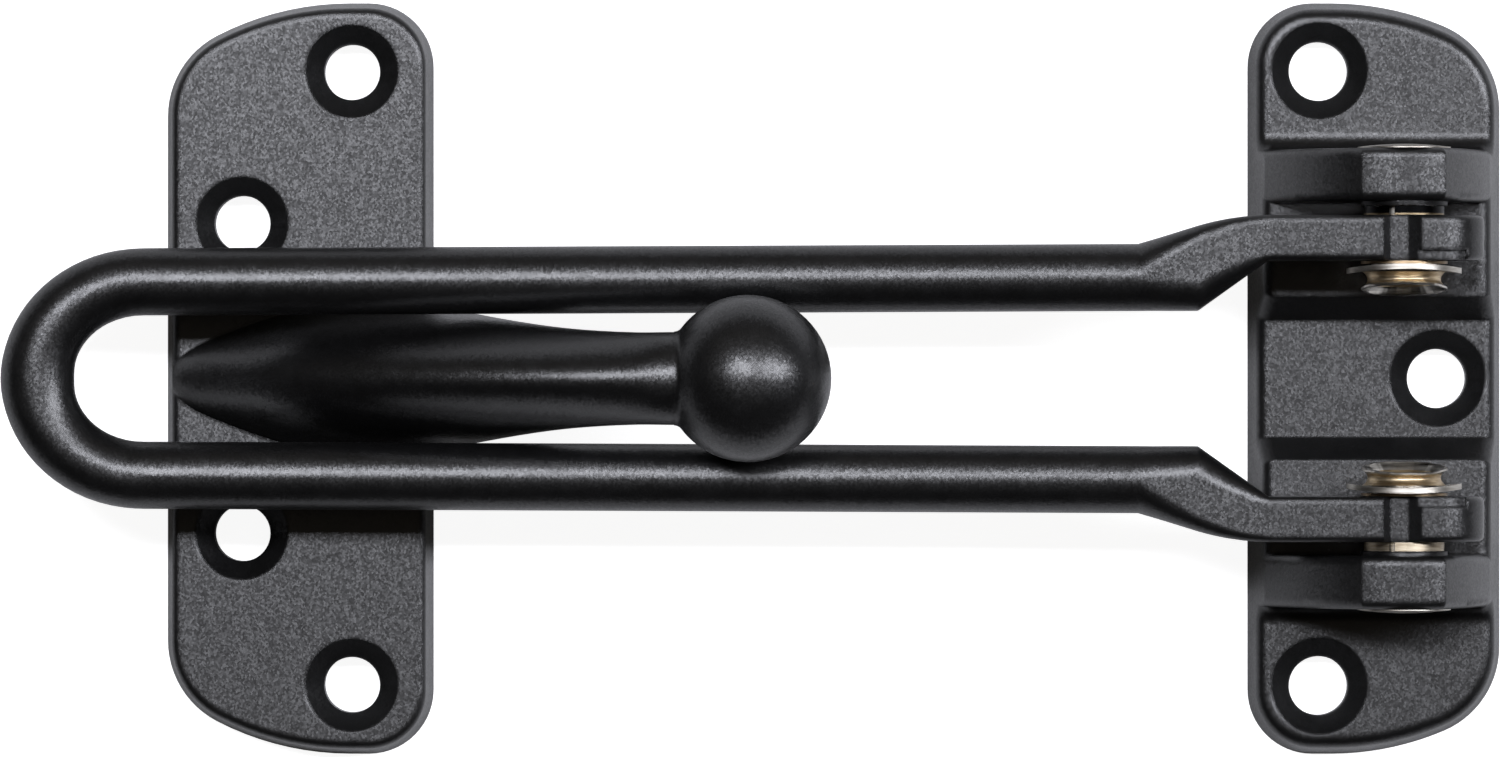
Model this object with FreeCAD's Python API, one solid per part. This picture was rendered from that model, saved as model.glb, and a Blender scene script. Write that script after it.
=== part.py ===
import FreeCAD
import Part
import math
import os

# Swing bar door guard. A ball on a cast keeper sits in the slot of a cast swing bar, and the bar
# turns on two tubular rivets between the lugs of a cast base.
# Millimetres. Both castings lie with their backs on z = 0. x runs from the loop of the bar to the
# base, y along the pivot axis and z away from the door. The origin is on the mounting plane, under
# the pivot axis, in the plane of symmetry.

# Outline shared by the two plates
plate_length = 70.0
inner_corner_radius = 6.0
crown_start = 7.8
crown_radius = 27.0
outer_corner_radius = 8.5

# Base plate, its pads and the raised plateaus that carry the lugs
base_inner_edge = -13.8
base_width = 23.5
base_draft = 12.0
pad_height = 4.0
plateau_height = 6.2
middle_pad_half = 5.4
plateau_start = 7.6
base_edge_round = 1.2
end_hole_offset = 6.5
end_hole_half_spacing = 28.6
middle_hole_offset = 17.5
base_hole_diameter = 5.5
base_sink_diameter = 9.05

# Pivot
pivot_height = 14.0
shank_diameter = 6.0
running_clearance = 0.05
seat_clearance = 0.03
axial_play = 0.05

# Lugs
lug_thickness = 4.9
nose_height = 4.5
nose_left = -4.1
nose_right = 3.6
nose_crown = 0.6
lug_edge_round = 0.8
lug_foot_round = 1.6
lug_boss_height = 0.4
lug_boss_diameter = 8.0
left_flank_bulge = 0.75
right_flank_bulge = 0.35

# Swing bar
rod_diameter = 6.2
slot_half_at_loop = 5.8
slot_half_at_joggle = 6.2
loop_end = -129.2
loop_tip_thickness = 6.8
loop_length = 13.2
loop_fullness = 0.56
joggle_start = -24.5
joggle_corner = -19.0
joggle_end = -12.6
joggle_swell = 1.3
joggle_round = 2.8
joggle_outer_fade = 1.6
joggle_inner_hold = 3.0
rod_flat_angle = 10.0
loop_sections = 6
eye_inner_face = 10.85
eye_thickness = 4.15
eye_half_height = 4.6
eye_end = 7.35
eye_edge_round = 0.55
notch_left = -2.2
notch_left_run = 0.8
notch_right = 1.4
notch_right_run = 1.2
notch_depth = 1.2
ledge_width = 0.95
ledge_depth = 0.35
ledge_end = 5.5

# Pieces on each pivot
head_diameter = 8.6
head_height = 0.4
head_rim_height = 0.1
flare_foot_diameter = 7.7
flare_neck_diameter = 6.75
flare_rim_diameter = 7.9
flare_length = 1.78
flare_wall = 0.4
flare_lip = 0.2
rivet_hollow_depth = 7.0
washer_bore_clearance = 0.15
split_washer_diameter = 7.4
split_washer_thickness = 0.8
split_width = 0.5
split_offset = -1.3
ring_diameter = 8.0
ring_thickness = 0.25
bowed_washer_diameter = 10.6
bowed_washer_thickness = 0.5
bowed_washer_bow = 0.4

# Keeper plate
plate_gap = 75.9
keeper_width = 24.8
keeper_thickness = 5.0
keeper_draft = 8.0
keeper_edge_round = 0.8
outer_hole_offset = 7.5
outer_hole_half_spacing = 28.5
inner_hole_offset = 17.7
inner_hole_half_spacing = 14.4
keeper_hole_diameter = 5.2
keeper_sink_diameter = 8.7

# Horn and ball of the keeper
ball_overhang = 29.3
ball_diameter = 15.3
ball_height = 21.0
stem_diameter = 8.5
horn_rise_angle = 42.0
belly_rise_angle = 50.0
belly_depth = 2.5
horn_waist = 0.22
stem_waist = 0.5
horn_shoulder = 0.6
horn_crest = 0.05
neck_fillet = 0.8
neck_step = 0.05
neck_overlap = 1.0
# Half widths of the horn, each at a share of the way from its tip to the neck of the ball
horn_half_widths = [
    (0.0, 3.0),
    (0.1, 5.0),
    (0.2, 6.2),
    (0.4, 7.3),
    (0.52, 6.75),
    (0.62, 5.9),
    (0.73, 5.0),
    (0.82, 4.5),
    (0.91, 4.25),
]

# Derived places
half_length = plate_length / 2
base_outer_edge = base_inner_edge + base_width
eye_outer_face = eye_inner_face + eye_thickness
boss_face = eye_outer_face + split_washer_thickness + 2 * axial_play
lug_inner_face = boss_face + lug_boss_height
lug_outer_face = lug_inner_face + lug_thickness
nose_top = pivot_height + nose_height
ring_face = eye_inner_face - axial_play
bowed_face = ring_face - ring_thickness
bow_radius = (bowed_washer_diameter ** 2 / 4 + bowed_washer_bow ** 2) / (2 * bowed_washer_bow)
bow_centre = bowed_face - bow_radius
hollow_bow_radius = bow_radius - bowed_washer_thickness
flare_start = bow_centre + math.sqrt(hollow_bow_radius ** 2 - flare_foot_diameter ** 2 / 4)
keeper_inner_edge = base_inner_edge - plate_gap
keeper_outer_edge = keeper_inner_edge - keeper_width
horn_tip = keeper_outer_edge + keeper_thickness * math.tan(math.radians(keeper_draft))
ball_x = keeper_inner_edge + ball_overhang
rod_radius = rod_diameter / 2
stem_radius = stem_diameter / 2
neck_radius = stem_radius + neck_step
ball_radius = ball_diameter / 2

Vector = FreeCAD.Vector
UP = Vector(0, 0, 1)
ALONG_PIVOT = Vector(0, 1, 0)
MARGIN = 5.0
TOLERANCE = 0.01
# Upright part of a face's direction that tells an upward face from a flank
FLANK_LIMIT = 0.5
# Shares of the six points of a fifth-degree curve at its middle
BEZIER_WEIGHTS = (1, 5, 10, 10, 5, 1)
BEZIER_SUM = sum(BEZIER_WEIGHTS)


def tan_deg(angle):
    return math.tan(math.radians(angle))


def arc(first, middle, last):
    return Part.Arc(first, middle, last).toShape()


def oval_arc(centre, first_axis, second_axis, first_angle, last_angle):
    """Stretch of an ellipse whose half axes are given as vectors, with angles from the first axis."""
    normal = first_axis.cross(second_axis).normalize()
    columns = (first_axis, second_axis, normal, centre)
    rows = [[getattr(column, row) for column in columns] for row in ("x", "y", "z")]
    frame = FreeCAD.Matrix(*rows[0], *rows[1], *rows[2])
    return Part.ArcOfCircle(Part.Circle(), first_angle, last_angle).toShape().transformGeometry(frame)


def oval(centre, wide, upper, lower):
    """Closed section from two half ellipses that meet at their common width."""
    top = oval_arc(centre, wide, upper, 0, math.pi)
    bottom = oval_arc(centre, wide, lower, math.pi, 2 * math.pi)
    return Part.Wire([top, bottom])


def mirrored(shape):
    """The same piece on the other side of the plane of symmetry."""
    return shape.mirror(Vector(0, 0, 0), ALONG_PIVOT)


def plate_wire(inner_edge, outward, width, inset, z):
    """Outline of a plate: straight inner edge with small corners, crowned ends, rounder outer corners.

    outward is 1 or -1, the way from the inner edge to the outer edge along x.
    """
    corner = inner_corner_radius - inset
    crown = crown_radius - inset
    outer_corner = outer_corner_radius - inset
    outer_centre_u = width - outer_corner_radius
    lean = math.acos((outer_centre_u - crown_start) / (crown_radius - outer_corner_radius))
    crown_centre_v = half_length - crown_radius
    outer_centre_v = crown_centre_v + (crown_radius - outer_corner_radius) * math.sin(lean)

    def point(u, v, side):
        return Vector(inner_edge + outward * u, side * v, z)

    def polar(centre_u, centre_v, radius, angle, side):
        return point(centre_u + radius * math.cos(angle), centre_v + radius * math.sin(angle), side)

    def end_edges(side):
        corner_v = half_length - inner_corner_radius
        first = polar(inner_corner_radius, corner_v, corner, math.pi, side)
        middle = polar(inner_corner_radius, corner_v, corner, 0.75 * math.pi, side)
        last = polar(inner_corner_radius, corner_v, corner, 0.5 * math.pi, side)
        crown_first = point(crown_start, half_length - inset, side)
        crown_middle = polar(crown_start, crown_centre_v, crown, (math.pi / 2 + lean) / 2, side)
        crown_last = polar(crown_start, crown_centre_v, crown, lean, side)
        outer_middle = polar(outer_centre_u, outer_centre_v, outer_corner, lean / 2, side)
        outer_last = polar(outer_centre_u, outer_centre_v, outer_corner, 0.0, side)
        edges = [
            arc(first, middle, last),
            Part.makeLine(last, crown_first),
            arc(crown_first, crown_middle, crown_last),
            arc(crown_last, outer_middle, outer_last),
        ]
        return edges, first, outer_last

    far_edges, far_inner, far_outer = end_edges(1)
    near_edges, near_inner, near_outer = end_edges(-1)
    sides = [Part.makeLine(far_outer, near_outer), Part.makeLine(near_inner, far_inner)]
    return Part.Wire(Part.__sortEdges__(far_edges + near_edges + sides))


def drafted_plate(inner_edge, outward, width, height, draft):
    foot = plate_wire(inner_edge, outward, width, 0.0, 0.0)
    top = plate_wire(inner_edge, outward, width, height * tan_deg(draft), height)
    return Part.makeLoft([foot, top], True, True)


def countersunk_hole(x, y, surface, hole_diameter, sink_diameter):
    """Through hole with a 90 degree countersink that opens on the surface."""
    sink_depth = (sink_diameter - hole_diameter) / 2
    hole = Part.makeCylinder(hole_diameter / 2, surface + 2 * MARGIN, Vector(x, y, -MARGIN), UP)
    cone_foot = Vector(x, y, surface - sink_depth)
    cone = Part.makeCone(hole_diameter / 2, sink_diameter / 2, sink_depth, cone_foot, UP)
    mouth = Part.makeCylinder(sink_diameter / 2, MARGIN, Vector(x, y, surface), UP)
    return hole.fuse([cone, mouth])


def rim_edges(shape, lowest):
    """Edges where an upward face meets a drafted flank, above the given height."""
    found = []
    for edge in shape.Edges:
        if edge.BoundBox.ZMin < lowest:
            continue
        faces = shape.ancestorsOfType(edge, Part.Face)
        levels = [abs(face.normalAt(*face_middle(face)).z) for face in faces]
        if max(levels) > FLANK_LIMIT > min(levels):
            found.append(edge)
    return found


def face_middle(face):
    u_first, u_last, v_first, v_last = face.ParameterRange
    return (u_first + u_last) / 2, (v_first + v_last) / 2


def level_profile(x):
    """Closed outline of the base along y: low pads, raised plateaus, a hollow round at each lug's foot."""
    low, high, below = pad_height, plateau_height, -MARGIN
    foot = lug_outer_face + lug_foot_round
    hollow = lug_foot_round * (1 - math.sqrt(0.5))
    far = half_length + MARGIN

    def point(y, z):
        return Vector(x, y, z)

    edges = [Part.makeLine(point(-middle_pad_half, low), point(middle_pad_half, low))]
    edges.append(Part.makeLine(point(far, below), point(-far, below)))
    for side in (1, -1):
        corners = [
            point(side * middle_pad_half, low),
            point(side * plateau_start, high),
            point(side * lug_outer_face, high),
            point(side * lug_outer_face, low + lug_foot_round),
        ]
        edges += [Part.makeLine(corners[i], corners[i + 1]) for i in range(3)]
        foot_end = point(side * foot, low)
        foot_middle = point(side * (lug_outer_face + hollow), low + hollow)
        edges.append(arc(corners[3], foot_middle, foot_end))
        edges.append(Part.makeLine(foot_end, point(side * far, low)))
        edges.append(Part.makeLine(point(side * far, low), point(side * far, below)))
    return Part.Wire(Part.__sortEdges__(edges))


def base_plate():
    """Plate with a low pad at each screw and a raised plateau under each pivot."""
    block = drafted_plate(base_inner_edge, 1, base_width, plateau_height, base_draft)
    first = base_inner_edge - MARGIN
    levels = Part.Face(level_profile(first)).extrude(Vector(base_width + 2 * MARGIN, 0, 0))
    plate = block.common(levels)
    return plate.makeFillet(base_edge_round, rim_edges(plate, pad_height / 2))


def bulged_arc(first, last, bulge):
    """Arc between two points of the x-z plane, swelling to the left of the way from first to last."""
    chord = last - first
    swell = Vector(-chord.z, 0, chord.x).normalize() * bulge
    return arc(first, (first + last) / 2 + swell, last)


def lug():
    """Transverse rib with an arched side, one flank long and one steep, and a low boss toward the eye."""
    lean = plateau_height * tan_deg(base_draft)
    foot_left = Vector(base_inner_edge, lug_inner_face, 0)
    knee_left = Vector(base_inner_edge + lean, lug_inner_face, plateau_height)
    foot_right = Vector(base_outer_edge, lug_inner_face, 0)
    knee_right = Vector(base_outer_edge - lean, lug_inner_face, plateau_height)
    top_left = Vector(nose_left, lug_inner_face, nose_top - nose_crown)
    top_right = Vector(nose_right, lug_inner_face, nose_top - nose_crown)
    edges = [
        Part.makeLine(foot_left, knee_left),
        bulged_arc(knee_left, top_left, left_flank_bulge),
        bulged_arc(top_left, top_right, nose_crown),
        bulged_arc(top_right, knee_right, right_flank_bulge),
        Part.makeLine(knee_right, foot_right),
        Part.makeLine(foot_right, foot_left),
    ]
    rib = Part.Face(Part.Wire(edges)).extrude(Vector(0, lug_thickness, 0))
    arch_edges = []
    for edge in rib.Edges:
        across = edge.BoundBox.YLength > lug_thickness / 2
        if edge.BoundBox.ZMax > pivot_height and not across:
            arch_edges.append(edge)
    rib = rib.makeFillet(lug_edge_round, arch_edges)
    boss_end = lug_inner_face + lug_edge_round
    start = Vector(0, boss_face, pivot_height)
    boss = Part.makeCylinder(lug_boss_diameter / 2, boss_end - boss_face, start, ALONG_PIVOT)
    return rib.fuse(boss)


def rivet_bore():
    radius = shank_diameter / 2 + seat_clearance
    start = Vector(0, lug_inner_face - MARGIN, pivot_height)
    return Part.makeCylinder(radius, lug_thickness + 2 * MARGIN, start, ALONG_PIVOT)


def make_base():
    one_lug = lug()
    body = base_plate().fuse([one_lug, mirrored(one_lug)]).removeSplitter()
    end_x = base_inner_edge + end_hole_offset
    middle_x = base_inner_edge + middle_hole_offset
    places = [(end_x, end_hole_half_spacing), (end_x, -end_hole_half_spacing), (middle_x, 0.0)]
    holes = [countersunk_hole(x, y, pad_height, base_hole_diameter, base_sink_diameter) for x, y in places]
    bore = rivet_bore()
    return body.cut(holes + [bore, mirrored(bore)])


def side_section(x, inner, outer, half_height, inner_corner, outer_corner):
    """Rounded rectangle across the arm, eight edges from the middle of the inner side."""
    y_first = inner + inner_corner
    y_last = outer - outer_corner
    z_inner = half_height - inner_corner
    z_outer = half_height - outer_corner
    slant = math.sqrt(0.5)
    y_inner = y_first - inner_corner * slant
    y_outer = y_last + outer_corner * slant
    z_inner_round = z_inner + inner_corner * slant
    z_outer_round = z_outer + outer_corner * slant

    def point(y, z):
        return Vector(x, y, pivot_height + z)

    return Part.Wire([
        Part.makeLine(point(inner, -z_inner), point(inner, z_inner)),
        arc(point(inner, z_inner), point(y_inner, z_inner_round), point(y_first, half_height)),
        Part.makeLine(point(y_first, half_height), point(y_last, half_height)),
        arc(point(y_last, half_height), point(y_outer, z_outer_round), point(outer, z_outer)),
        Part.makeLine(point(outer, z_outer), point(outer, -z_outer)),
        arc(point(outer, -z_outer), point(y_outer, -z_outer_round), point(y_last, -half_height)),
        Part.makeLine(point(y_last, -half_height), point(y_first, -half_height)),
        arc(point(y_first, -half_height), point(y_inner, -z_inner_round), point(inner, -z_inner)),
    ])


def rod_section(x, inner):
    """Round section of the rod in eight arcs that match the edges of side_section."""
    short = math.radians(rod_flat_angle)
    quarter = math.pi / 2
    cuts = []
    for side in range(4):
        cuts += [math.pi - side * quarter + short, math.pi - side * quarter - short]

    def point(angle):
        y = inner + rod_radius + rod_radius * math.cos(angle)
        return Vector(x, y, pivot_height + rod_radius * math.sin(angle))

    edges = []
    for i, first in enumerate(cuts):
        last = cuts[i + 1] if i + 1 < len(cuts) else cuts[0] - 4 * quarter
        edges.append(arc(point(first), point((first + last) / 2), point(last)))
    return Part.Wire(edges)


def slot_half(x):
    """Half the width of the slot, which opens slightly from the loop to the pivots."""
    knee = loop_end + loop_length
    share = (x - knee) / (joggle_start - knee)
    return slot_half_at_loop + share * (slot_half_at_joggle - slot_half_at_loop)


def straight_arm():
    knee = loop_end + loop_length
    first = Vector(knee, slot_half(knee) + rod_radius, pivot_height)
    last = Vector(joggle_start, slot_half(joggle_start) + rod_radius, pivot_height)
    disc = Part.Face(Part.Wire(Part.Circle(first, Vector(1, 0, 0), rod_radius).toShape()))
    return disc.extrude(last - first)


def loop():
    """Rounded end of the bar, swept from arm to arm and a little thicker at its tip."""
    knee = Vector(loop_end + loop_length, slot_half_at_loop + rod_radius, pivot_height)
    tip = Vector(loop_end + loop_tip_thickness / 2, 0, pivot_height)
    reach = Vector((tip.x - knee.x) * loop_fullness, 0, 0)
    spread = Vector(0, knee.y * loop_fullness, 0)
    quarter = Part.BezierCurve()
    quarter.setPoles([knee, knee + reach, tip + spread, tip])
    sections = []
    for i in range(2 * loop_sections + 1):
        share = min(i, 2 * loop_sections - i) / loop_sections
        place = quarter.value(share)
        along = quarter.tangent(share)[0]
        radial = Vector(along.y, -along.x, 0)
        if i > loop_sections:
            place = Vector(place.x, -place.y, place.z)
            radial = Vector(radial.x, -radial.y, 0)
        half = rod_radius + (loop_tip_thickness / 2 - rod_radius) * share ** 2
        sections.append(oval(place, radial * half, UP * rod_radius, UP * rod_radius))
    return Part.makeLoft(sections, True, False)


def eye():
    """Flat end of an arm with a full round end, a shallow notch on its front and the rivet bore."""
    low = pivot_height - eye_half_height
    high = pivot_height + eye_half_height
    round_centre = eye_end - eye_half_height
    corners = [Vector(round_centre, eye_inner_face, high), Vector(joggle_end, eye_inner_face, high)]
    corners += [Vector(joggle_end, eye_inner_face, low), Vector(round_centre, eye_inner_face, low)]
    edges = [Part.makeLine(corners[i], corners[i + 1]) for i in range(3)]
    edges.append(arc(corners[3], Vector(eye_end, eye_inner_face, pivot_height), corners[0]))
    body = Part.Face(Part.Wire(edges)).extrude(Vector(0, eye_thickness, 0))
    boxes = [(edge, edge.BoundBox) for edge in body.Edges]
    rims = [edge for edge, box in boxes if box.YLength < TOLERANCE < box.XLength]
    body = body.makeFillet(eye_edge_round, rims)
    floor = high - notch_depth
    rise = (notch_depth + MARGIN) / notch_depth
    left = notch_left + notch_left_run
    right = notch_right - notch_right_run
    notch_points = [
        (left, floor),
        (right, floor),
        (right + notch_right_run * rise, high + MARGIN),
        (left - notch_left_run * rise, high + MARGIN),
    ]
    outline = [Vector(x, eye_inner_face - MARGIN, z) for x, z in notch_points]
    notch = Part.Face(Part.makePolygon(outline + outline[:1]))
    notch = notch.extrude(Vector(0, eye_thickness + 2 * MARGIN, 0))
    start = Vector(0, eye_inner_face - MARGIN, pivot_height)
    bore_radius = shank_diameter / 2 + running_clearance
    bore = Part.makeCylinder(bore_radius, eye_thickness + 2 * MARGIN, start, ALONG_PIVOT)
    return body.cut([notch, bore, eye_ledge()])


def eye_ledge():
    """What is taken off for the low ledge between the notch and the round end."""
    radius = eye_half_height - ledge_depth
    centre_x = eye_end - eye_half_height
    left = notch_right - notch_right_run
    start = eye_inner_face - MARGIN
    width = ledge_width + MARGIN
    corner = Vector(left, start, pivot_height)
    block = Part.makeBox(ledge_end - left, width, eye_half_height + MARGIN, corner)
    kept_round = Part.makeCylinder(radius, width, Vector(centre_x, start, pivot_height), ALONG_PIVOT)
    kept_flat = Part.makeBox(centre_x - left, width, radius, corner)
    return block.cut([kept_round, kept_flat])


def joggle():
    """Stretch where the round rod spreads outward, turns flat and steps out to the eye."""
    slot_edge = slot_half(joggle_corner)
    rod_outer = slot_half(joggle_start) + rod_diameter
    outer_step = eye_outer_face - rod_outer

    def outer(x):
        share = (x - joggle_start) / (joggle_end - joggle_start)
        return rod_outer + outer_step * (1 - (1 - share) ** 2) ** joggle_swell

    def inner(x):
        if x <= joggle_corner:
            return slot_half(x)
        return slot_edge + (eye_inner_face - slot_edge) * (x - joggle_corner) / (joggle_end - joggle_corner)

    def section(x):
        share = (x - joggle_start) / (joggle_end - joggle_start)
        half_height = rod_radius + (eye_half_height - rod_radius) * share
        fade = joggle_round - eye_edge_round
        inner_corner = eye_edge_round + fade * (1 - share ** joggle_inner_hold)
        outer_corner = eye_edge_round + fade * (1 - share) ** joggle_outer_fade
        return side_section(x, inner(x), outer(x), half_height, inner_corner, outer_corner)

    middle_first = (joggle_start + joggle_corner) / 2
    middle_last = (joggle_corner + joggle_end) / 2
    start = rod_section(joggle_start, slot_half(joggle_start))
    spread = Part.makeLoft([start, section(middle_first), section(joggle_corner)], True, False)
    step = Part.makeLoft([section(joggle_corner), section(middle_last), section(joggle_end)], True, False)
    return spread, step


def make_swing_bar():
    spread, step = joggle()
    arm = straight_arm().fuse([spread, step, eye()])
    return arm.fuse([mirrored(arm), loop()]).removeSplitter()


def ring_on_pivot(outer_diameter, bore_radius, first, last):
    start = Vector(0, first, pivot_height)
    disc = Part.makeCylinder(outer_diameter / 2, last - first, start, ALONG_PIVOT)
    hole_start = Vector(0, first - MARGIN, pivot_height)
    return disc.cut(Part.makeCylinder(bore_radius, last - first + 2 * MARGIN, hole_start, ALONG_PIVOT))


def make_rivet():
    """Tubular rivet: low domed head outside the lug, hollow end flared over the bowed washer."""
    shank = shank_diameter / 2
    head = head_diameter / 2
    foot = flare_foot_diameter / 2
    neck = flare_neck_diameter / 2
    rim = flare_rim_diameter / 2
    rim_end = flare_start - flare_length
    hollow = shank - flare_wall
    hollow_end = rim_end + rivet_hollow_depth

    def point(radius, along):
        return Vector(radius, along, pivot_height)

    head_top = lug_outer_face + head_height
    head_rim = lug_outer_face + head_rim_height
    dome = head_height - head_rim_height
    dome_radius = (head ** 2 + dome ** 2) / (2 * dome)
    dome_lean = math.asin(head / dome_radius) / 2
    dome_drop = dome_radius * (1 - math.cos(dome_lean))
    dome_middle = point(dome_radius * math.sin(dome_lean), head_top - dome_drop)
    flare_middle = (flare_start + rim_end) / 2
    edges = [
        Part.makeLine(point(0, hollow_end), point(0, head_top)),
        arc(point(0, head_top), dome_middle, point(head, head_rim)),
        Part.makeLine(point(head, head_rim), point(head, lug_outer_face)),
        Part.makeLine(point(head, lug_outer_face), point(shank, lug_outer_face)),
        Part.makeLine(point(shank, lug_outer_face), point(shank, flare_start)),
        Part.makeLine(point(shank, flare_start), point(foot, flare_start)),
        arc(point(foot, flare_start), point(neck, flare_middle), point(rim, rim_end)),
        Part.makeLine(point(rim, rim_end), point(rim - flare_lip, rim_end)),
        arc(
            point(rim - flare_lip, rim_end),
            point(neck - flare_wall, flare_middle),
            point(hollow, flare_start + flare_length / 2),
        ),
        Part.makeLine(point(hollow, flare_start + flare_length / 2), point(hollow, hollow_end)),
        Part.makeLine(point(hollow, hollow_end), point(0, hollow_end)),
    ]
    face = Part.Face(Part.Wire(edges))
    return face.revolve(Vector(0, 0, pivot_height), ALONG_PIVOT, 360)


def washer_bore_radius():
    return shank_diameter / 2 + washer_bore_clearance


def make_split_washer():
    """Spring washer between eye and lug, cut through once near its top."""
    first = eye_outer_face + axial_play
    ring = ring_on_pivot(split_washer_diameter, washer_bore_radius(), first, first + split_washer_thickness)
    corner = Vector(split_offset - split_width / 2, first - MARGIN, pivot_height)
    slit = Part.makeBox(split_width, split_washer_thickness + 2 * MARGIN, split_washer_diameter, corner)
    return ring.cut(slit)


def make_friction_ring():
    return ring_on_pivot(ring_diameter, washer_bore_radius(), ring_face - ring_thickness, ring_face)


def make_bowed_washer():
    """Spring washer bent about z, its middle on the friction ring and its sides off it."""
    centre = Vector(0, bow_centre, pivot_height - bowed_washer_diameter / 2 - MARGIN)
    height = bowed_washer_diameter + 2 * MARGIN
    sheet = Part.makeCylinder(bow_radius, height, centre, UP)
    sheet = sheet.cut(Part.makeCylinder(hollow_bow_radius, height, centre, UP))
    first = bowed_face - bowed_washer_thickness - 2 * bowed_washer_bow
    ring = ring_on_pivot(bowed_washer_diameter, washer_bore_radius(), first, bowed_face + MARGIN)
    return sheet.common(ring)


def eased(start_slope, share):
    """Rise from 0 to 1 that starts at the given slope and ends level."""
    return start_slope * share + (3 - 2 * start_slope) * share ** 2 + (start_slope - 2) * share ** 3


def crest_curve(centre, wide, rise):
    """Upper half of a horn section, from side to side: upright shoulders under a narrow crest."""
    lift = (BEZIER_SUM - 2 * BEZIER_WEIGHTS[1] * horn_shoulder) / (2 * BEZIER_WEIGHTS[2])
    poles = [
        centre + wide,
        centre + wide + rise * horn_shoulder,
        centre + wide * horn_crest + rise * lift,
        centre - wide * horn_crest + rise * lift,
        centre - wide + rise * horn_shoulder,
        centre - wide,
    ]
    curve = Part.BezierCurve()
    curve.setPoles(poles)
    return curve.toShape()


def horn_section(x, crest, belly, waist, half_width):
    """Egg-shaped section across the horn, widest at the given height, with a narrow crest."""
    centre = Vector(x, 0, waist)
    wide = Vector(0, half_width, 0)
    bottom = oval_arc(centre, wide, UP * (waist - belly), math.pi, 2 * math.pi)
    return Part.Wire([crest_curve(centre, wide, UP * (crest - waist)), bottom])


def stem_section(x):
    """Round section of the stem."""
    return oval(Vector(x, 0, ball_height), Vector(0, stem_radius, 0), UP * stem_radius, UP * stem_radius)


def horn_neck():
    """Where the level stem ends and the hollow round to the ball starts."""
    return ball_x - math.sqrt((ball_radius + neck_fillet) ** 2 - (neck_radius + neck_fillet) ** 2)


def horn():
    """Prow that grows out of the plate, leans up along its crest and becomes the ball's stem."""
    length = horn_neck() - keeper_outer_edge
    crest_rise = ball_height + stem_radius - keeper_thickness
    crest_slope = length * tan_deg(horn_rise_angle) / crest_rise
    belly_length = horn_neck() - keeper_inner_edge
    belly_rise = ball_height - stem_radius
    belly_slope = belly_length * tan_deg(belly_rise_angle) / belly_rise
    sections = []
    for share, half_width in horn_half_widths:
        x = max(keeper_outer_edge + share * length, horn_tip)
        crest_share = (x - keeper_outer_edge) / length
        crest = keeper_thickness + crest_rise * eased(crest_slope, crest_share)
        belly_share = (x - keeper_inner_edge) / belly_length
        if belly_share > 0:
            belly = belly_rise * eased(belly_slope, belly_share)
        else:
            belly = max(-belly_depth, belly_rise * belly_slope * belly_share)
        waist_share = horn_waist + (stem_waist - horn_waist) * share ** 3
        waist = belly + waist_share * (crest - belly)
        sections.append(horn_section(x, crest, belly, waist, half_width))
    sections += [stem_section(horn_neck()), stem_section(horn_neck() + neck_overlap)]
    return Part.makeLoft(sections, True, False)


def ball():
    """Ball with the hollow round at its neck, turned about the axis of the stem."""
    neck = horn_neck()
    share = ball_radius / (ball_radius + neck_fillet)
    round_centre = Vector(neck, 0, ball_height + neck_radius + neck_fillet)
    ball_centre = Vector(ball_x, 0, ball_height)
    to_ball = ball_centre + (round_centre - ball_centre) * share
    toward = (ball_centre - round_centre).normalize() - UP
    round_middle = round_centre + toward.normalize() * neck_fillet
    stem_edge = Vector(neck, 0, ball_height + neck_radius)
    ball_end = ball_centre + Vector(ball_radius, 0, 0)
    edges = [
        Part.makeLine(Vector(neck, 0, ball_height), stem_edge),
        arc(stem_edge, round_middle, to_ball),
        arc(to_ball, ball_centre + UP * ball_radius, ball_end),
        Part.makeLine(ball_end, Vector(neck, 0, ball_height)),
    ]
    return Part.Face(Part.Wire(edges)).revolve(ball_centre, Vector(1, 0, 0), 360)


def make_keeper():
    plate = drafted_plate(keeper_inner_edge, -1, keeper_width, keeper_thickness, keeper_draft)
    plate = plate.makeFillet(keeper_edge_round, rim_edges(plate, keeper_thickness / 2))
    body = plate.fuse(horn().cut(floor_block())).fuse(ball()).removeSplitter()
    places = []
    for side in (1, -1):
        places.append((keeper_inner_edge - outer_hole_offset, side * outer_hole_half_spacing))
        places.append((keeper_inner_edge - inner_hole_offset, side * inner_hole_half_spacing))
    size = (keeper_thickness, keeper_hole_diameter, keeper_sink_diameter)
    return body.cut([countersunk_hole(x, y, *size) for x, y in places])


def floor_block():
    """Everything below the mounting plane."""
    reach = plate_length
    corner = Vector(keeper_outer_edge - reach, -reach, -reach)
    return Part.makeBox(2 * reach, 2 * reach, reach, corner)


def save(name, shape):
    shape.exportStep("parts/" + name + ".step")
    print(name, shape.isValid(), len(shape.Solids), round(shape.Volume, 2))


def main():
    os.makedirs("parts", exist_ok=True)
    save("base", make_base())
    save("keeper", make_keeper())
    save("swing_bar", make_swing_bar())
    pivot_pieces = {
        "rivet": make_rivet(),
        "split_washer": make_split_washer(),
        "friction_ring": make_friction_ring(),
        "bowed_washer": make_bowed_washer(),
    }
    for name, piece in pivot_pieces.items():
        save(name + "_upper", piece)
        save(name + "_lower", mirrored(piece))


main()
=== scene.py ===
"""Looks of the swing bar door guard, laid on a white sheet and seen from straight above."""

import math

import bmesh
import bpy
from mathutils import Matrix, Vector


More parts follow.
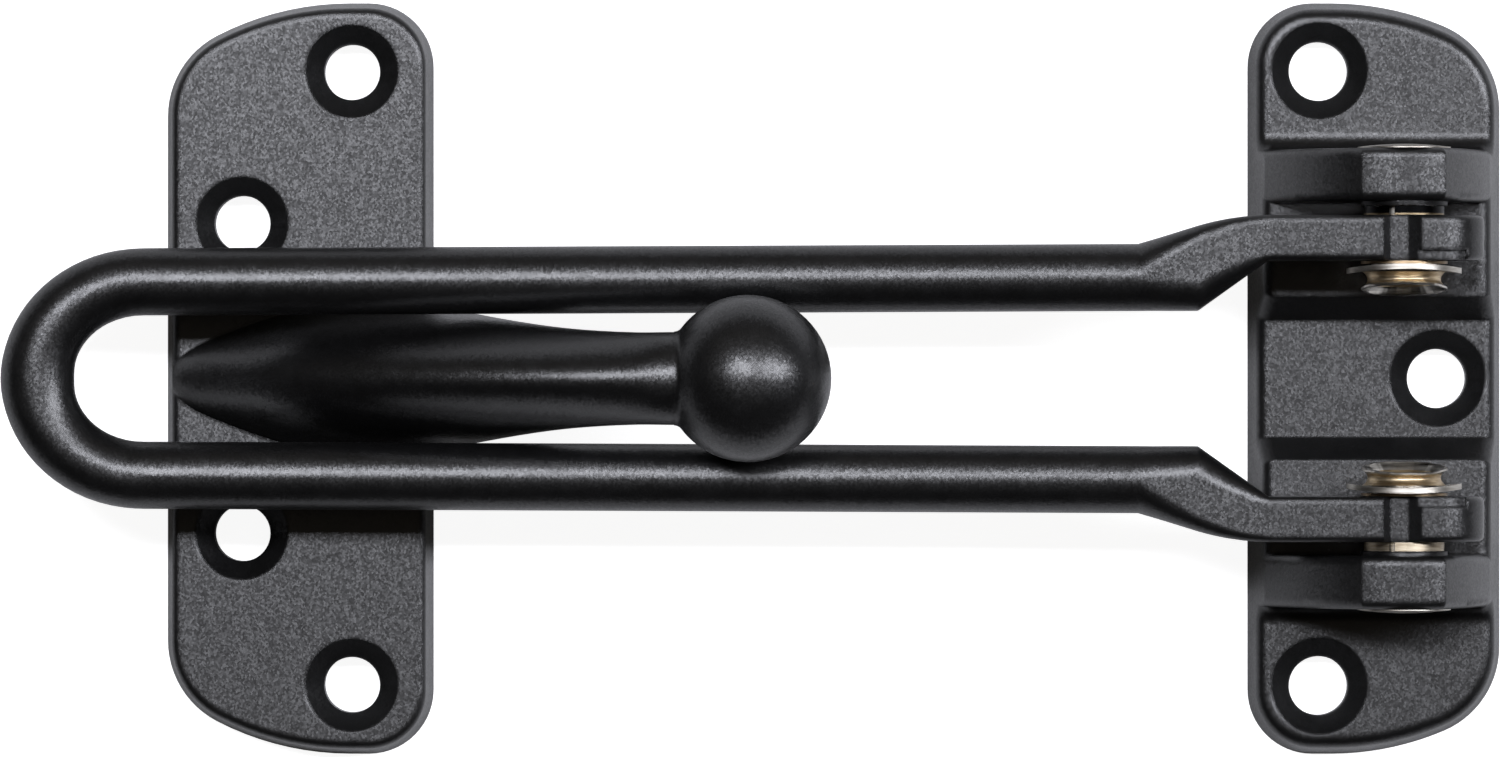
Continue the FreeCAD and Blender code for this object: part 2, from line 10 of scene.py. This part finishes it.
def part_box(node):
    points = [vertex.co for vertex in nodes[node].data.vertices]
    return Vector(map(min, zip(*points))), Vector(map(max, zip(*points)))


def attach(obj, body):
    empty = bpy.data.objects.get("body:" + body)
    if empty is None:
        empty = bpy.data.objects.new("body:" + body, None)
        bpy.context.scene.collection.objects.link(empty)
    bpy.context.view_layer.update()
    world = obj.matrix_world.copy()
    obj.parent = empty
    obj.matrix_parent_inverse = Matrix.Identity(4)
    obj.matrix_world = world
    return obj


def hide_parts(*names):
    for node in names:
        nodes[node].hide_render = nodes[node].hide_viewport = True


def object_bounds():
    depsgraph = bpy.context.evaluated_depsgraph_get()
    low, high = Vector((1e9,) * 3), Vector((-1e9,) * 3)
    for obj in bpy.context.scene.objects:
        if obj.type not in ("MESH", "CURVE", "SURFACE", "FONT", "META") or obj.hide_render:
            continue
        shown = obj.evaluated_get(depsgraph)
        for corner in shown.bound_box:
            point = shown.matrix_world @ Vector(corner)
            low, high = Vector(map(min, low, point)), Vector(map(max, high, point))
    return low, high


MM = 0.001
WHITE = (1.0, 1.0, 1.0, 1.0)
MID_GREY = (0.5, 0.5, 0.5)

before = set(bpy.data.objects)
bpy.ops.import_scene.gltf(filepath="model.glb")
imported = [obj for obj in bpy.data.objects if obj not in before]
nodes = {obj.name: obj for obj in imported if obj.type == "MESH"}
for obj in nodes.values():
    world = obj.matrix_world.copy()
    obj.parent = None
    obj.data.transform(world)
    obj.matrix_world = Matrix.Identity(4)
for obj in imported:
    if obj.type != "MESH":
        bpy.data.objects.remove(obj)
cad_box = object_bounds()

# Pieces by finish
COATED = ("base", "keeper", "swing_bar")
RIVETS = ("rivet_upper", "rivet_lower")
RINGS = ("friction_ring_upper", "friction_ring_lower")
BOWED_WASHERS = ("bowed_washer_upper", "bowed_washer_lower")
OPEN_WASHER = "split_washer_lower"
# The upper split washer gets painted shade past its lit edge by the eye
SHADED_WASHER = "split_washer_upper"

# Camera: straight above, image up is +Y
IMAGE_WIDTH_PX = 1500
PX_PER_MM = 10.72
IMAGE_CENTRE = Vector((-60.2, 0.0, 0.0)) * MM
CAMERA_HEIGHT = 1050 * MM
SENSOR_WIDTH = 36.0

# Light: two soft boxes side by side, leaning toward the top of the image, in metres and degrees
LAMP_DISTANCE = 1.5
LAMP_LEAN = 16.0
LAMP_HEIGHT = 0.18
# Sideways lean, width and power in watts of each
LAMPS = ((-8.0, 0.70, 17.0), (37.0, 1.10, 20.0))
LAMP_COLOUR = (0.91, 0.925, 1.0)
# Ceiling: a soft glow around the lamps in an otherwise dim room, fading between two angles
CEILING_LEAN = 30.0
CEILING_REACH = (70.0, 20.0)
CEILING_LEVEL = 0.12
ROOM_LEVEL = 0.012
ROOM_COLOUR = (1.0, 0.88, 0.74, 1.0)

# White sheet on a dark table, the sheet fading out between two distances, in metres
SHEET_REACH = (0.18, 0.45)
SHEET_COLOUR = 0.50
TABLE_COLOUR = 0.03
TABLE_ROUGHNESS = 0.8
TABLE_HALF = 6.0
TABLE_DROP = 0.05 * MM
SHEET_GLOW = 0.92
TABLE_GLOW = 1.0
TABLE_GLINT = 0.04

# Powder coat
COAT_COLOUR = (0.0022, 0.0022, 0.0023, 1.0)
COAT_SHADES = (0.7, 1.5)
COAT_SPECULAR = 0.65
COAT_ROUGHNESS = 0.34
COAT_ROUGHNESS_SPREAD = 0.05
COAT_BUILD_UP = 0.5 * MM
BEVEL_SAMPLES = 4
GRAIN_SIZE = 0.17 * MM
GRAIN_TILT = 0.10
PEEL_SIZE = 1.6 * MM
PEEL_DETAIL = 3.0
PEEL_STRENGTH = 0.06
PEEL_DEPTH = 0.05 * MM

# Metals: name, colour, colour of the marks, roughness and pitch of the marks
NICKEL = ("nickel_plate", (0.56, 0.54, 0.49, 1.0), (0.32, 0.29, 0.25, 1.0), 0.38, 0.25 * MM)
BRASS = ("brassy_plate", (0.66, 0.54, 0.36, 1.0), (0.36, 0.26, 0.15, 1.0), 0.38, 0.20 * MM)
STRAW = ("straw_plate", (0.46, 0.40, 0.30, 1.0), (0.24, 0.19, 0.13, 1.0), 0.40, 0.25 * MM)
WORN = ("punched_rim", (0.72, 0.69, 0.63, 1.0), (0.02, 0.015, 0.01, 1.0), 0.30, 0.45 * MM)
BRONZE = ("bronze_ring", (0.40, 0.30, 0.19, 1.0), (0.14, 0.10, 0.06, 1.0), 0.36, 0.20 * MM)
# Upper split washer: its metal is darker than the lower one's as painted shade, and painted shade
# blackens it past its lit edge
SHADED = ("painted_shade_plate", (0.40, 0.32, 0.20, 1.0), (0.10, 0.07, 0.04, 1.0), 0.36, 0.20 * MM)
# Marks are drawn out around the axis; their colours lie at these two places of the noise
MARK_STRETCH = (0.12, 1.0, 0.12)
MARK_SHADES = (0.3, 0.65)
MARK_DETAIL = 4.0
MARK_STRENGTH = 0.25
MARK_DEPTH = 0.02 * MM
METAL_ROUGHNESS_SPREAD = 0.08
# Painted shade on the upper split washer: width of its lit edge by the eye, and how fast the painted
# shade darkens it past that edge
LIT_EDGE_WIDTH = 0.08 * MM
SHADE_FADE = 0.1 * MM

# Rivets, in millimetres; lengths run from the flat end of the flare toward the head
RIVET_SEGMENTS = 160
SHANK_RADIUS = 3.0
HEAD_HEIGHT = 0.4
HEAD_RIM_HEIGHT = 0.1
HEAD_STEPS = 8
# Radius and length of the flare's two ends, and how sharply it waists between them
FLARE_FOOT = (3.85, 1.78)
FLARE_RIM = (3.98, 0.28)
FLARE_NECK_RADIUS = 3.375
FLARE_WAIST = 2.2
FLARE_STEPS = 16
LIP_WIDTH = 0.42
LIP_TURNS = (45, 90, 135)
HOLLOW_RADIUS = 2.6
HOLLOW_DEPTH = 7.0
HOLLOW_STEPS = 8
# The punch came in from the front at a slant, so the mouth looks up a little
MOUTH_TILT = 0.5
# Wobble of the rim: its size, its waves as count and share, and its phases outward and along
RIM_RAGGED = 0.06
RIM_WAVES = ((3, 0.3), (7, 0.25), (13, 0.2), (29, 0.15), (47, 0.1))
RIM_PHASES = (1.3, 2.1)
# Share of the wobble from which the metal is worn bright
WORN_SHARE = 0.6
SHARP_ANGLE = 40.0


def new_material(name):
    """A material, its node tree, and its Principled shader already joined to the output."""
    material = bpy.data.materials.new(name)
    material.use_nodes = True
    tree = material.node_tree
    return material, tree, tree.nodes["Principled BSDF"]


def add_node(tree, kind, **settings):
    """A node with the given properties; keys that name an input set its value."""
    node = tree.nodes.new(kind)
    for key, value in settings.items():
        if key in node.inputs:
            node.inputs[key].default_value = value
        else:
            setattr(node, key, value)
    return node


def map_range(tree, value, old, new, interpolation="LINEAR"):
    """A value carried from one range into another."""
    node = add_node(tree, "ShaderNodeMapRange", interpolation_type=interpolation)
    node.inputs["From Min"].default_value, node.inputs["From Max"].default_value = old
    node.inputs["To Min"].default_value, node.inputs["To Max"].default_value = new
    tree.links.new(value, node.inputs["Value"])
    return node.outputs["Result"]


def grain_normal(tree, place):
    """The normal of the surface with its edges rounded by the coat, tipped from grain to grain."""
    cells = add_node(tree, "ShaderNodeTexVoronoi", Scale=1 / GRAIN_SIZE)
    tree.links.new(place, cells.inputs["Vector"])
    centred = add_node(tree, "ShaderNodeVectorMath", operation="SUBTRACT")
    centred.inputs[1].default_value = MID_GREY
    tree.links.new(cells.outputs["Color"], centred.inputs[0])
    scaled = add_node(tree, "ShaderNodeVectorMath", operation="SCALE", Scale=GRAIN_TILT)
    tree.links.new(centred.outputs["Vector"], scaled.inputs[0])
    rounded = add_node(tree, "ShaderNodeBevel", samples=BEVEL_SAMPLES, Radius=COAT_BUILD_UP)
    added = add_node(tree, "ShaderNodeVectorMath", operation="ADD")
    tree.links.new(rounded.outputs["Normal"], added.inputs[0])
    tree.links.new(scaled.outputs["Vector"], added.inputs[1])
    unit = add_node(tree, "ShaderNodeVectorMath", operation="NORMALIZE")
    tree.links.new(added.outputs["Vector"], unit.inputs[0])
    return unit.outputs["Vector"]


def powder_coat():
    """Satin black coat with a fine sparkling grain and a faint orange peel."""
    material, tree, shader = new_material("black_coat")
    place = add_node(tree, "ShaderNodeTexCoord").outputs["Object"]
    shader.inputs["Specular IOR Level"].default_value = COAT_SPECULAR
    shader.inputs["Metallic"].default_value = 0.0

    clouds = add_node(tree, "ShaderNodeTexNoise", Scale=1 / PEEL_SIZE, Detail=PEEL_DETAIL)
    tree.links.new(place, clouds.inputs["Vector"])
    tint = add_node(tree, "ShaderNodeValToRGB")
    for stop, shade in zip(tint.color_ramp.elements, COAT_SHADES):
        stop.color = [level * shade for level in COAT_COLOUR[:3]] + [1.0]
    tree.links.new(clouds.outputs["Fac"], tint.inputs["Fac"])
    tree.links.new(tint.outputs["Color"], shader.inputs["Base Color"])

    spread = (COAT_ROUGHNESS - COAT_ROUGHNESS_SPREAD, COAT_ROUGHNESS + COAT_ROUGHNESS_SPREAD)
    rough = map_range(tree, clouds.outputs["Fac"], (0.0, 1.0), spread)
    tree.links.new(rough, shader.inputs["Roughness"])

    peel = add_node(tree, "ShaderNodeBump", Strength=PEEL_STRENGTH, Distance=PEEL_DEPTH)
    tree.links.new(clouds.outputs["Fac"], peel.inputs["Height"])
    tree.links.new(grain_normal(tree, place), peel.inputs["Normal"])
    tree.links.new(peel.outputs["Normal"], shader.inputs["Normal"])
    return material


def painted_shade_past(tree, shade, place, edge):
    """Painted shade: a colour that darkens to the coat's black past a place along the pivot axis,
    standing in for shadow.
    """
    along = add_node(tree, "ShaderNodeSeparateXYZ")
    tree.links.new(place, along.inputs["Vector"])
    shadowed = map_range(tree, along.outputs["Y"], (edge, edge + SHADE_FADE), (0.0, 1.0))
    mixed = add_node(tree, "ShaderNodeMixRGB", Color2=COAT_COLOUR)
    tree.links.new(shadowed, mixed.inputs["Fac"])
    tree.links.new(shade, mixed.inputs["Color1"])
    return mixed.outputs["Color"]


def plated_metal(name, colour, mark_colour, roughness, mark_pitch, shade_edge=None):
    """Plated metal with fine marks around the pivot axis, with painted shade past shade_edge if that is
    given.
    """
    material, tree, shader = new_material(name)
    place = add_node(tree, "ShaderNodeTexCoord").outputs["Object"]
    shader.inputs["Metallic"].default_value = 1.0

    stretched = add_node(tree, "ShaderNodeMapping", Scale=MARK_STRETCH)
    tree.links.new(place, stretched.inputs["Vector"])
    marks = add_node(tree, "ShaderNodeTexNoise", Scale=1 / mark_pitch, Detail=MARK_DETAIL)
    tree.links.new(stretched.outputs["Vector"], marks.inputs["Vector"])

    tint = add_node(tree, "ShaderNodeValToRGB")
    for stop, position, tone in zip(tint.color_ramp.elements, MARK_SHADES, (mark_colour, colour)):
        stop.position = position
        stop.color = tone
    tree.links.new(marks.outputs["Fac"], tint.inputs["Fac"])
    shade = tint.outputs["Color"]
    if shade_edge is not None:
        shade = painted_shade_past(tree, shade, place, shade_edge)
    tree.links.new(shade, shader.inputs["Base Color"])

    spread = (roughness - METAL_ROUGHNESS_SPREAD, roughness + METAL_ROUGHNESS_SPREAD)
    rough = map_range(tree, marks.outputs["Fac"], (0.0, 1.0), spread)
    tree.links.new(rough, shader.inputs["Roughness"])

    bump = add_node(tree, "ShaderNodeBump", Strength=MARK_STRENGTH, Distance=MARK_DEPTH)
    tree.links.new(marks.outputs["Fac"], bump.inputs["Height"])
    tree.links.new(bump.outputs["Normal"], shader.inputs["Normal"])
    return material


def white_table():
    """White sheet that takes light and shadow, with a glow that whitens it for the camera."""
    material, tree, shader = new_material("white_table")
    away = add_node(tree, "ShaderNodeVectorMath", operation="DISTANCE")
    tree.links.new(add_node(tree, "ShaderNodeTexCoord").outputs["Object"], away.inputs[0])
    away.inputs[1].default_value = IMAGE_CENTRE
    pale = map_range(tree, away.outputs["Value"], SHEET_REACH, (SHEET_COLOUR, TABLE_COLOUR))
    tree.links.new(pale, shader.inputs["Base Color"])
    shader.inputs["Roughness"].default_value = TABLE_ROUGHNESS
    shader.inputs["Emission Color"].default_value = WHITE

    path = add_node(tree, "ShaderNodeLightPath")
    glow = map_range(tree, away.outputs["Value"], SHEET_REACH, (SHEET_GLOW, TABLE_GLOW))
    level = add_node(tree, "ShaderNodeMath", operation="MULTIPLY")
    tree.links.new(path.outputs["Is Camera Ray"], level.inputs[0])
    tree.links.new(glow, level.inputs[1])
    total = level.outputs["Value"]
    for kind in ("Is Glossy Ray", "Is Transmission Ray"):
        added = add_node(tree, "ShaderNodeMath", operation="MULTIPLY_ADD")
        tree.links.new(path.outputs[kind], added.inputs[0])
        added.inputs[1].default_value = TABLE_GLINT
        tree.links.new(total, added.inputs[2])
        total = added.outputs["Value"]
    tree.links.new(total, shader.inputs["Emission Strength"])
    return material


def give(material, slot, *names):
    """Puts a material on CAD nodes."""
    for name in names:
        node = nodes[name]
        node.data.materials.clear()
        node.data.materials.append(material)


def ragged(angle, phase):
    """An uneven wobble between about -1 and 1 around the rim of a rivet."""
    return sum(size * math.sin(count * angle + phase * count) for count, size in RIM_WAVES)


def shares(steps):
    """Even steps from 0 to 1."""
    return [step / steps for step in range(steps + 1)]


def rivet_outline(head_radius, length):
    """Outline of a rivet from the top of its head to the end of its hollow.

    Each point is its radius, its length, and its share of the rim's tilt and wobble.
    """
    foot_radius, foot = FLARE_FOOT
    rim_radius, rim = FLARE_RIM
    lip = LIP_WIDTH / 2
    inner = rim_radius - LIP_WIDTH
    head_foot = length - HEAD_HEIGHT
    dome = HEAD_HEIGHT - HEAD_RIM_HEIGHT

    points = [(head_radius * share, length - dome * share ** 2, 0.0) for share in shares(HEAD_STEPS)]
    points += [(head_radius, head_foot, 0.0), (SHANK_RADIUS, head_foot, 0.0), (SHANK_RADIUS, foot, 0.0)]
    for share in shares(FLARE_STEPS):
        edge = foot_radius if share < 0.5 else rim_radius
        radius = FLARE_NECK_RADIUS + (edge - FLARE_NECK_RADIUS) * abs(2 * share - 1) ** FLARE_WAIST
        points.append((radius, foot + (rim - foot) * share, share ** 2))
    for turn in map(math.radians, LIP_TURNS):
        points.append((rim_radius - lip + lip * math.cos(turn), rim - lip * math.sin(turn), 1.0))
    for share in shares(HOLLOW_STEPS):
        radius = HOLLOW_RADIUS + (inner - HOLLOW_RADIUS) * (1 - share) ** 2
        points.append((radius, rim + (foot - rim) * share, (1 - share) ** 2))
    points += [(HOLLOW_RADIUS, HOLLOW_DEPTH, 0.0), (0.0, HOLLOW_DEPTH, 0.0)]
    return points


def make_rivet(name, flare_metal, rim_metal, head_metal):
    """Rivet turned around the pivot axis, its flared rim tilted and ragged from the punch."""
    low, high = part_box(name)
    middle = (low + high) / 2
    away = 1 if middle.y > 0 else -1
    flat_end = low.y if away > 0 else high.y
    outline = rivet_outline((high.x - low.x) / 2 / MM, (high.y - low.y) / MM)
    metals = (flare_metal, rim_metal, head_metal)

    shape = bmesh.new()
    rings = []
    for radius, length, loose in outline:
        if radius == 0:
            spot = Vector((middle.x, flat_end + away * length * MM, middle.z))
            rings.append([shape.verts.new(spot)] * RIVET_SEGMENTS)
            continue
        ring = []
        for segment in range(RIVET_SEGMENTS):
            angle = 2 * math.pi * segment / RIVET_SEGMENTS
            outward, along = (RIM_RAGGED * ragged(angle, phase * away) for phase in RIM_PHASES)
            reach = radius + loose * outward
            place = length + loose * (MOUTH_TILT * math.cos(angle) + along)
            ring.append(shape.verts.new((
                middle.x + reach * math.sin(angle) * MM,
                flat_end + away * place * MM,
                middle.z + reach * math.cos(angle) * MM,
            )))
        rings.append(ring)

    for (_, length, loose), ring, following in zip(outline, rings, rings[1:]):
        metal = flare_metal
        if loose > WORN_SHARE:
            metal = rim_metal
        elif length > HOLLOW_DEPTH:
            metal = head_metal
        for segment in range(RIVET_SEGMENTS):
            after = (segment + 1) % RIVET_SEGMENTS
            corners = (ring[segment], ring[after], following[after], following[segment])
            face = shape.faces.new(list(dict.fromkeys(corners)))
            face.smooth = True
            face.material_index = metals.index(metal)
    bmesh.ops.recalc_face_normals(shape, faces=shape.faces)

    mesh = bpy.data.meshes.new(f"punched_{name}")
    shape.to_mesh(mesh)
    shape.free()
    mesh.set_sharp_from_angle(angle=math.radians(SHARP_ANGLE))
    for metal in metals:
        mesh.materials.append(metal)
    piece = bpy.data.objects.new(mesh.name, mesh)
    bpy.context.scene.collection.objects.link(piece)
    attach(piece, "base")
    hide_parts(name)


def make_floor():
    """Table top just under the mounting plane."""
    mesh = bpy.data.meshes.new("floor")
    half = TABLE_HALF
    corners = [(-half, -half, 0), (half, -half, 0), (half, half, 0), (-half, half, 0)]
    mesh.from_pydata(corners, [], [(0, 1, 2, 3)])
    floor = bpy.data.objects.new("floor", mesh)
    floor.location.z = cad_box[0].z - TABLE_DROP
    bpy.context.scene.collection.objects.link(floor)
    mesh.materials.append(white_table())


def make_world():
    """A dim room with a soft glow on its ceiling, white where the camera looks past the table."""
    world = bpy.data.worlds.new("studio")
    bpy.context.scene.world = world
    world.use_nodes = True
    tree = world.node_tree
    background = tree.nodes["Background"]
    lean = math.radians(CEILING_LEAN)
    toward = add_node(tree, "ShaderNodeVectorMath", operation="DOT_PRODUCT")
    tree.links.new(add_node(tree, "ShaderNodeTexCoord").outputs["Generated"], toward.inputs[0])
    toward.inputs[1].default_value = (0.0, math.sin(lean), math.cos(lean))
    reach = [math.cos(math.radians(angle)) for angle in CEILING_REACH]
    levels = (ROOM_LEVEL, CEILING_LEVEL)
    room = map_range(tree, toward.outputs["Value"], reach, levels, interpolation="SMOOTHSTEP")

    path = add_node(tree, "ShaderNodeLightPath")
    level = add_node(tree, "ShaderNodeMath", operation="MAXIMUM")
    tree.links.new(path.outputs["Is Camera Ray"], level.inputs[0])
    tree.links.new(room, level.inputs[1])
    tree.links.new(level.outputs["Value"], background.inputs["Strength"])
    tint = add_node(tree, "ShaderNodeMixRGB", Color1=ROOM_COLOUR, Color2=WHITE)
    tree.links.new(path.outputs["Is Camera Ray"], tint.inputs["Fac"])
    tree.links.new(tint.outputs["Color"], background.inputs["Color"])


def make_lamps():
    """Soft boxes that face the object with their long sides level."""
    for index, (side, width, power) in enumerate(LAMPS):
        lamp = bpy.data.lights.new(f"soft_box_{index}", "AREA")
        lamp.shape = "RECTANGLE"
        lamp.size = width
        lamp.size_y = LAMP_HEIGHT
        lamp.energy = power
        lamp.color = LAMP_COLOUR
        holder = bpy.data.objects.new(lamp.name, lamp)
        leans = (math.tan(math.radians(side)), math.tan(math.radians(LAMP_LEAN)), 1.0)
        toward = Vector(leans).normalized()
        across = (Vector((1.0, 0.0, 0.0)) - toward * toward.x).normalized()
        turn = Matrix((across, toward.cross(across), toward)).transposed()
        holder.location = IMAGE_CENTRE + toward * LAMP_DISTANCE
        holder.rotation_euler = turn.to_euler()
        holder.visible_camera = False
        bpy.context.scene.collection.objects.link(holder)


def make_camera():
    """Camera straight above the middle of the photograph."""
    camera = bpy.data.cameras.new("camera")
    camera.sensor_width = SENSOR_WIDTH
    camera.lens = PX_PER_MM / MM * CAMERA_HEIGHT * SENSOR_WIDTH / IMAGE_WIDTH_PX
    holder = bpy.data.objects.new("camera", camera)
    holder.location = IMAGE_CENTRE + Vector((0.0, 0.0, CAMERA_HEIGHT))
    bpy.context.scene.collection.objects.link(holder)
    bpy.context.scene.camera = holder


nickel = plated_metal(*NICKEL)
brass = plated_metal(*BRASS)
worn = plated_metal(*WORN)
# Painted shade on the upper split washer past its lit edge by the eye
shaded = plated_metal(*SHADED, shade_edge=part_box(SHADED_WASHER)[0].y + LIT_EDGE_WIDTH)
give(powder_coat(), "black_coat", *COATED)
give(nickel, "nickel_plate", *BOWED_WASHERS)
give(plated_metal(*STRAW), "nickel_plate", OPEN_WASHER)
give(plated_metal(*BRONZE), "nickel_plate", *RINGS)
give(shaded, "nickel_plate", SHADED_WASHER)
give(brass, "nickel_plate", *RIVETS)
for rivet in RIVETS:
    make_rivet(rivet, brass, worn, nickel)

make_floor()
make_world()
make_lamps()
make_camera()
bpy.context.scene.view_settings.view_transform = "Standard"
